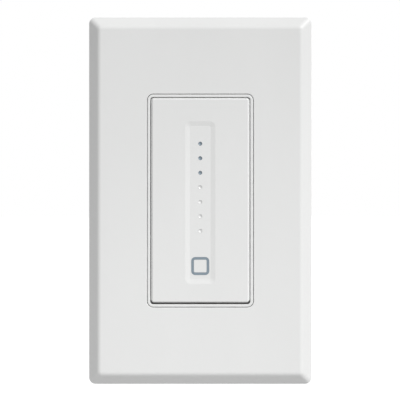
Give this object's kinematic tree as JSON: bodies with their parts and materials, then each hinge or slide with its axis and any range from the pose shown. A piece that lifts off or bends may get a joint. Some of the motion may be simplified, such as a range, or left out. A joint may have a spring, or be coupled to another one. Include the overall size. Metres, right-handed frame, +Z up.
{
  "type": "smart dimmer switch",
  "caption": "Wall dimmer switch with a flat rectangular paddle, a lit level row, a bevelled screwless wall plate, a metal strap and a rear housing.",
  "frame": {"origin": "midway between the two box screws, on the wall's surface, which is the plane of the wall plate's rear rim", "axes": "+X to the right as seen from the room, +Y into the wall, +Z up; the front faces -Y"},
  "size_m": [0.0694, 0.0404, 0.1146],
  "materials": {
    "plate_white": "satin moulded polycarbonate",
    "base_white": "matt moulded plastic",
    "bezel_white": "satin moulded plastic",
    "paddle_white": "satin moulded polycarbonate",
    "light_guide": "clear acrylic, blue-grey where it is lit",
    "strap_aluminium": "stamped and tumbled aluminium",
    "screw_zinc": "zinc-plated steel",
    "screw_white": "white painted steel",
    "screw_green": "green anodised screw",
    "retainer_fibre": "pressed fibre",
    "housing_black": "fine spark-eroded texture",
    "brass": "stamped brass",
    "terminal_steel": "zinc-plated steel",
    "terminal_brass": "brass-plated screw",
    "board_green": "solder resist on glass fibre",
    "led_body": "cast resin",
    "black_moulding": "black moulding compound",
    "plunger_brown": "brown phenolic",
    "shield_tin": "tin-plated steel",
    "spring_steel": "spring wire",
    "ferrite": "sintered ferrite",
    "copper_winding": "enamelled copper wire under tape",
    "capacitor_sleeve": "shrink sleeve",
    "film_yellow": "moulded box",
    "varistor_blue": "dipped epoxy"
  },
  "bodies": {
    "switch": {"wall_plate_cover": "plate_white", "wall_plate_base": "base_white", "front_frame": "bezel_white", "mounting_strap": "strap_aluminium", "box_screw_upper": "screw_zinc", "box_screw_lower": "screw_zinc", "housing_screws": "screw_zinc", "transistor_screw_left": "screw_zinc", "transistor_screw_right": "screw_zinc", "plate_screw_upper": "screw_white", "plate_screw_lower": "screw_white", "ground_screw": "screw_green", "screw_retainer_upper": "retainer_fibre", "screw_retainer_lower": "retainer_fibre", "rear_housing": "housing_black", "terminal_bracket_line": "brass", "terminal_bracket_load": "brass", "terminal_bracket_neutral": "brass", "terminal_bracket_traveller": "brass", "terminal_clamp_line": "terminal_steel", "terminal_clamp_load": "terminal_steel", "terminal_clamp_neutral": "terminal_steel", "terminal_clamp_traveller": "terminal_steel", "terminal_screw_neutral": "terminal_steel", "terminal_screw_line": "terminal_brass", "terminal_screw_load": "terminal_brass", "terminal_screw_traveller": "terminal_brass", "control_board": "board_green", "power_board": "board_green", "wireless_module": "board_green", "level_led_1": "led_body", "level_led_2": "led_body", "level_led_3": "led_body", "level_led_4": "led_body", "level_led_5": "led_body", "level_led_6": "led_body", "level_led_7": "led_body", "power_mark_led": "led_body", "tact_switch_body": "black_moulding", "touch_chip": "black_moulding", "board_header": "black_moulding", "power_transistor_left": "black_moulding", "power_transistor_right": "black_moulding", "fuse": "black_moulding", "wireless_shield": "shield_tin", "paddle_spring_left": "spring_steel", "paddle_spring_right": "spring_steel", "transformer_core": "ferrite", "choke_core": "ferrite", "transformer_coil": "copper_winding", "choke_winding": "copper_winding", "smoothing_capacitor_left": "capacitor_sleeve", "smoothing_capacitor_right": "capacitor_sleeve", "film_capacitor": "film_yellow", "varistor": "varistor_blue"},
    "paddle": {"dimmer_paddle": "paddle_white", "level_light_guide": "light_guide", "power_mark_light_guide": "light_guide"},
    "switch_plunger": {"tact_switch_plunger": "plunger_brown"}
  },
  "joints": [
    {"name": "paddle_press", "type": "hinge", "parent": "switch", "child": "paddle", "pos_m": [0, -0.0044, 0.0284], "axis": [1, 0, 0], "range_deg": [0, 0.8], "stiffness_Nm_per_rad": 2, "springref_deg": -1.72, "deforming": ["paddle_spring_left", "paddle_spring_right"]},
    {"name": "switch_plunger_slide", "type": "slide", "parent": "switch", "child": "switch_plunger", "axis": [0, 1, 0], "range_m": [0, 0.0008]}
  ],
  "couplings": [
    {"joint": "switch_plunger_slide", "follows": "paddle_press", "m_per_rad": 0.0547}
  ]
}
